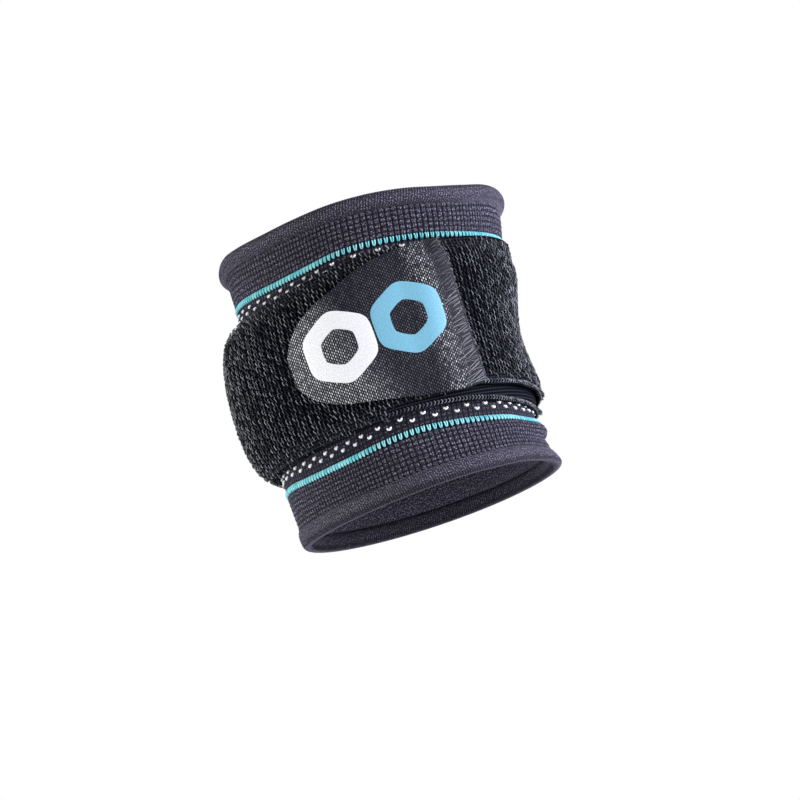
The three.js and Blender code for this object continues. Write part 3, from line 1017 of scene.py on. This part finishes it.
def make_legs(turn, height):
    """Upright strokes of yarn, two to a loop, that chain into columns."""
    t = np.linspace(0, 1, 8)[None, :]
    out = LEG_FOOT + PILE * np.sin(t * math.pi) ** 0.4
    swing = LEG_SWING * np.sin(t * 2 * math.pi)
    along = (0.5 - t) * LEG_LENGTH
    legs = []
    for side, drop in ((-LOOP_PITCH / 4, 0), (LOOP_PITCH / 4, LOOP_ROW * 0.4)):
        lean = rng.normal(LEG_LEAN, LEG_LEAN_SPREAD, (len(turn), 1))
        aside = (t - 0.5) * lean - swing + side
        legs.append(loop_lines(turn, height - drop, aside, along, out))
    return legs


def make_crossings(turn, height):
    """A short flat stroke across each loop."""
    t = np.linspace(0, 1, 5)[None, :]
    out = CROSSING_FOOT + 0.8 * PILE * np.sin(t * math.pi) ** 0.5
    aside = t - 0.5 - LOOP_PITCH / 8
    return loop_lines(turn, height - LOOP_ROW / 2, aside, (0.5 - t) * CROSSING_DROP, out)


def make_loops(material):
    """Each loop is two upright strokes that chain into columns and a small one across."""
    turn, height = loop_places()
    left, right = make_legs(turn, height)
    crossing = make_crossings(turn, height)
    beside = round_the_tube(turn)[:, None, :]
    pieces = []
    for kind, lines, yarn, sides, share in (
        ("left_legs", left, LEG_YARN, 4, 1.0),
        ("right_legs", right, LEG_YARN, 4, 0.62),
        ("crossings", crossing, CROSSING_YARN, 3, 0.25),
    ):
        # Painted glints: each stroke's lightness stands in for its highlight, and the right legs
        # and crossings, which lie lower, get painted shade
        shade = share * rng.uniform(0.2, 1, len(turn)) ** 1.8
        for half in (0, 1):
            part = slice(half, None, 2)
            name = f"strap_{kind}_{half + 1}"
            some = make_tubes(name, lines[part], yarn, sides, beside[part], material, shade[part])
            pieces.append(some)
    return pieces


def make_selvage(material):
    """A row of small hooked stitches along the strap's lower edge, with painted shade dimming them
    on the left.
    """
    step = math.degrees(SELVAGE_STEP / TAB_RADIUS)
    turn = np.arange(STRAP_START + 3, STRAP_END - 30, step)[:, None]
    t = np.linspace(-1, 1, 7)[None, :]
    middle = strap_middle(turn) - SELVAGE_AT * wide_share(turn) * STRAP_WIDTH / 2
    aside = SELVAGE_HOOK * (0.64 - t ** 2)
    out = tape_face(turn, middle) + 0.28 - 0.25 * np.abs(t) ** 3
    lines = on_tube(turn + np.degrees(aside / TAB_RADIUS), middle + SELVAGE_TALL * t, out)
    beside = np.broadcast_to(round_the_tube(turn[:, 0])[:, None, :], lines.shape)
    # Painted shade: the stitches are dimmed on the left and lighter towards the right
    right = smoothstep(between(turn[:, 0], 0), *SELVAGE_BRIGHTENS)
    shade = rng.uniform(0.2, 1, len(turn)) * (0.15 + 0.85 * right)
    return make_tubes("strap_selvage", lines, EDGE_YARN, 4, beside, material, shade)


def make_edge_loops(material):
    """Small loose loops along the strap's lower edge, larger where they curl out."""
    step = math.degrees(EDGE_LOOP_STEP / TAB_RADIUS)
    turns = np.concatenate([np.arange(*part, step) for part in EDGE_LOOP_TURNS])
    turns = turns + rng.normal(0, 0.2, turns.size) * step
    height = strap_middle(turns) - wide_share(turns) * STRAP_WIDTH / 2 * EDGE_LOOPS_AT
    t = np.linspace(0, 1, 9)[None, :]
    arch = np.sin(t * math.pi)
    loose = 0.6 + 1.2 * np.exp(-(between(turns, LOOSEST_AT) / LOOSE_SPREAD) ** 2)
    size = rng.normal(1, 0.25, (turns.size, 1)).clip(0.4, 1.7) * loose[:, None]
    aside = (t - 0.5) * size + rng.normal(0, 0.2, (turns.size, 1)) * arch
    along = -arch * 0.7 * size
    out = tape_face(turns, height)[:, None] + (0.25 + 0.6 * size * arch)
    angles = turns[:, None] + np.degrees(aside / TAB_RADIUS)
    lines = on_tube(angles, height[:, None] + along, out)
    up = np.broadcast_to([0.0, 0.0, 1.0], lines.shape)
    # Random painted glints of the loop yarn
    shade = rng.uniform(0, 1, turns.size)
    return make_tubes("strap_edge_loops", lines, EDGE_YARN, 4, up, material, shade)


# Tab

def make_tab(material):
    """The tab's cloth, with its rim rounded over."""
    distance = (np.sin(np.linspace(0, 1, 121) * math.pi / 2) * TAB_REACH)[:, None]
    across = np.sin(np.linspace(-0.5, 0.5, 91) * math.pi)[None, :]
    up = across * tab_half_height(distance, across > 0)
    rim = np.maximum(np.abs(across) ** 12, (distance / TAB_LENGTH) ** 40)
    upper = on_tab(distance, up, -TAB_RIM_DROP * rim)
    lower = on_tab(distance, up, -TAB_THICKNESS + TAB_RIM_LIFT * rim)
    uv = np.stack(np.broadcast_arrays(distance, up), axis=-1)
    shade = np.broadcast_to(rim, up.shape)
    return make_slab("tab_cloth", upper, lower, uv, material, shade)


def hexagon_radius(turn, size):
    """How far out a rounded hexagon of so many mm across its flats reaches, at angles."""
    sixth = math.pi / 3
    off = (turn + sixth / 2) % sixth - sixth / 2
    flat = size / 2 / np.cos(off)
    corner = size / 2 * RING_CORNER
    return -RING_ROUNDING * np.logaddexp(-flat / RING_ROUNDING, -corner / RING_ROUNDING)


def make_hexagon(name, middle, rise, material):
    """A flat ring in the shape of a rounded hexagon, printed on the tab."""
    turn = np.linspace(0, 2 * math.pi, 145)[:, None]
    share = np.linspace(0, 1, 9)[None, :]
    outer = hexagon_radius(turn, RING_SIZE)
    inner = hexagon_radius(turn, RING_SIZE - 2 * RING_BAND)
    radius = inner + (outer - inner) * share
    distance = middle - radius * np.cos(turn)
    up = rise + radius * np.sin(turn)
    thin = PRINT_THICKNESS * (1 - np.abs(2 * share - 1) ** 8) + 0.01
    upper = on_tab(distance, up, thin)
    lower = on_tab(distance, up, -PRINT_SUNK)
    uv = np.stack([distance, up], axis=-1)
    ring = make_slab(name, upper, lower, uv, material)
    ring.data.shade_flat()
    return ring


def make_zigzag(material):
    """Pairs of threads laid slanting across the tab's sewn edge, longest below, with painted light
    making them lightest below.
    """
    pairs = np.arange(-TAB_HEIGHT / 2 + 0.7, TAB_HEIGHT / 2 - 0.7, THREAD_STEP)
    rise = np.concatenate([pairs, pairs + THREAD_GAP])
    slant = rng.normal(THREAD_SLANT, THREAD_SLANT_SPREAD, rise.size)
    uneven = rng.normal(0, 1.1, rise.size).clip(-2.4, 2.4)
    reach = THREAD_LENGTH + THREAD_LONGER * smoothstep(-rise, -6, 18) + uneven
    t = np.linspace(0, 1, 7)[None, :]
    distance = 0.15 + t * reach[:, None]
    up = rise[:, None] + slant[:, None] * (distance - 2) + rng.normal(0, 0.12, (rise.size, 1))
    up = np.clip(up, -TAB_HEIGHT / 2 + 0.3, TAB_HEIGHT / 2 - 0.3)
    above = 0.1 + 0.08 * np.sin(t * math.pi) - 0.3 * np.abs(2 * t - 1) ** 6
    lines = on_tab(distance, up, above)
    beside = np.broadcast_to([0.0, 0.0, 1.0], lines.shape)
    # Painted light: the threads are lighter towards the bottom, with a random tone on top
    shade = (0.25 + 0.75 * smoothstep(-rise, -14, 2)) * rng.uniform(0.25, 1, rise.size)
    return make_tubes("tab_stitches", lines, THREAD_YARN, 4, beside, material, shade)


def make_edge_fuzz(material):
    """Short loose ends along the tab's sewn edge."""
    half = TAB_HEIGHT / 2
    rise = rng.uniform(-half + 0.2, half - 0.2, FUZZ_COUNT)[:, None]
    t = np.linspace(0, 1, 5)[None, :]
    distance = 0.5 - t * rng.uniform(0.4, 1.1, (FUZZ_COUNT, 1))
    up = np.clip(rise + rng.normal(0, 0.5, (FUZZ_COUNT, 1)) * t, -half, half)
    above = -0.1 + rng.uniform(-0.5, 0.35, (FUZZ_COUNT, 1)) * t
    lines = on_tab(distance, up, above)
    beside = np.broadcast_to([0.0, 0.0, 1.0], lines.shape)
    shade = rng.uniform(0, 1, FUZZ_COUNT)
    return make_tubes("tab_edge_fuzz", lines, FUZZ_YARN, 3, beside, material, shade)


# Light and floor

def add_light(name, place, size, power, colour):
    """A round soft box in metres and watts that shines at the object."""
    data = bpy.data.lights.new(name, "AREA")
    data.shape = "DISK"
    data.size = size
    data.energy = power
    data.color = colour
    light = bpy.data.objects.new(name, data)
    light.location = place
    light.rotation_euler = (-Vector(place)).to_track_quat("-Z", "Y").to_euler()
    bpy.context.scene.collection.objects.link(light)


def make_world():
    """White behind the object, and dimmer as a light, so that the soft boxes shape it."""
    world = bpy.data.worlds.new("studio")
    world.use_nodes = True
    tree = world.node_tree
    behind = tree.nodes["Background"]
    behind.inputs["Color"].default_value = (1, 1, 1, 1)
    behind.inputs["Strength"].default_value = 1.0
    around = tree.nodes.new("ShaderNodeBackground")
    around.inputs["Color"].default_value = (0.95, 0.97, 1, 1)
    around.inputs["Strength"].default_value = WORLD_LIGHT
    seen = tree.nodes.new("ShaderNodeLightPath")
    both = tree.nodes.new("ShaderNodeMixShader")
    tree.links.new(seen.outputs["Is Camera Ray"], both.inputs[0])
    tree.links.new(around.outputs[0], both.inputs[1])
    tree.links.new(behind.outputs[0], both.inputs[2])
    tree.links.new(both.outputs[0], tree.nodes["World Output"].inputs[0])
    bpy.context.scene.world = world


def make_studio():
    bpy.ops.mesh.primitive_circle_add(
        vertices=96, radius=6, fill_type="NGON", location=(0, 0, FLOOR_AT),
    )
    floor = bpy.context.active_object
    floor.name = "floor"
    floor.data.materials.append(plain_material("pale_floor", (0.86, 0.86, 0.87, 1), 0.9))
    make_world()
    bpy.context.scene.view_settings.view_transform = "Standard"
    add_light("left_box", (-0.85, -0.42, 0.25), 0.4, 7.5, (1, 1, 0.98))
    add_light("right_box", (0.9, -0.22, 0.12), 0.35, 16, (0.85, 0.85, 1))
    add_light("back_box", (-0.1, 0.9, 0.5), 0.5, 5, (1, 1, 1))


# The support

def make_knit():
    """The tube with its hems and stitches: the sleeve, hems, courses and the smaller pieces."""
    knit = knit_material()
    hem = hem_material()
    turquoise = yarn_material("turquoise_yarn", (0.12, 0.74, 0.82, 1), (0.42, 1, 1, 1), sheen=1.0)
    white = yarn_material("white_yarn", (0.93, 0.93, 0.95, 1), (1, 1, 1, 1))
    link = yarn_material("linking_yarn", (0.05, 0.048, 0.062, 1), (0.13, 0.125, 0.15, 1))
    sleeve = make_sleeve(knit)
    hems = [
        make_hem("upper_hem_roll", TOP - UPPER_HEM, TOP, UPPER_HEM_ROLL, -HEM_SLANT, hem),
        make_hem("lower_hem_roll", -BOTTOM, -BOTTOM + LOWER_HEM, LOWER_HEM_ROLL, HEM_SLANT, hem),
    ]
    courses = make_courses(turquoise)
    dots = make_dots(white)
    links = make_links(link)
    return sleeve, hems, courses, dots, links


def make_strap():
    """The strap's cloth, its loops and the stitches and loose loops of its lower edge."""
    # The black loop yarn's light colour is a painted glint
    loop_yarn = yarn_material(
        "loop_yarn", (0.003, 0.0035, 0.006, 1), (0.5, 0.515, 0.55, 1),
        roughness=0.7, specular=0.05,
    )
    selvage_yarn = yarn_material(
        "selvage_yarn", (0.012, 0.012, 0.017, 1), (0.4, 0.41, 0.44, 1),
        roughness=0.6, specular=0.2,
    )
    tape = make_tape(tape_material())
    loops = make_loops(loop_yarn)
    edges = [make_selvage(selvage_yarn), make_edge_loops(loop_yarn)]
    return tape, loops, edges


def make_closure():
    """The tab, its print, and the threads and fuzz of its sewn edge."""
    thread = yarn_material(
        "tab_thread", (0.06, 0.061, 0.072, 1), (0.55, 0.56, 0.6, 1),
        roughness=0.4, specular=0.3,
    )
    white_print = print_material("white_print", (0.94, 0.94, 0.95, 1))
    blue_print = print_material("blue_print", (0.2, 0.49, 0.63, 1))
    tab = make_tab(satin_material())
    prints = [
        make_hexagon("tab_print_left", *LEFT_RING_AT, white_print),
        make_hexagon("tab_print_right", *RIGHT_RING_AT, blue_print),
    ]
    zigzag = make_zigzag(thread)
    fuzz = make_edge_fuzz(thread)
    return tab, prints, zigzag, fuzz


def build():
    sleeve, (upper_hem, lower_hem), courses, dots, links = make_knit()
    tape, loops, edges = make_strap()
    tab, prints, zigzag, fuzz = make_closure()
    pieces = {
        "knit": [sleeve, *dots, *links],
        "hem": [upper_hem, lower_hem],
        "course": courses,
        "loop": [tape, *loops, *edges],
        "tab": [tab, *prints, zigzag, fuzz],
    }
    for slot, members in pieces.items():
        for piece in members:
            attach(piece, "root")
    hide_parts("sleeve")
    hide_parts("upper_hem")
    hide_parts("lower_hem")
    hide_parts("upper_course")
    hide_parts("lower_course")
    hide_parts("strap")
    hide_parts("tab")
    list(courses)
    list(dots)
    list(links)
    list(loops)
    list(edges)
    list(prints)


build()
make_studio()
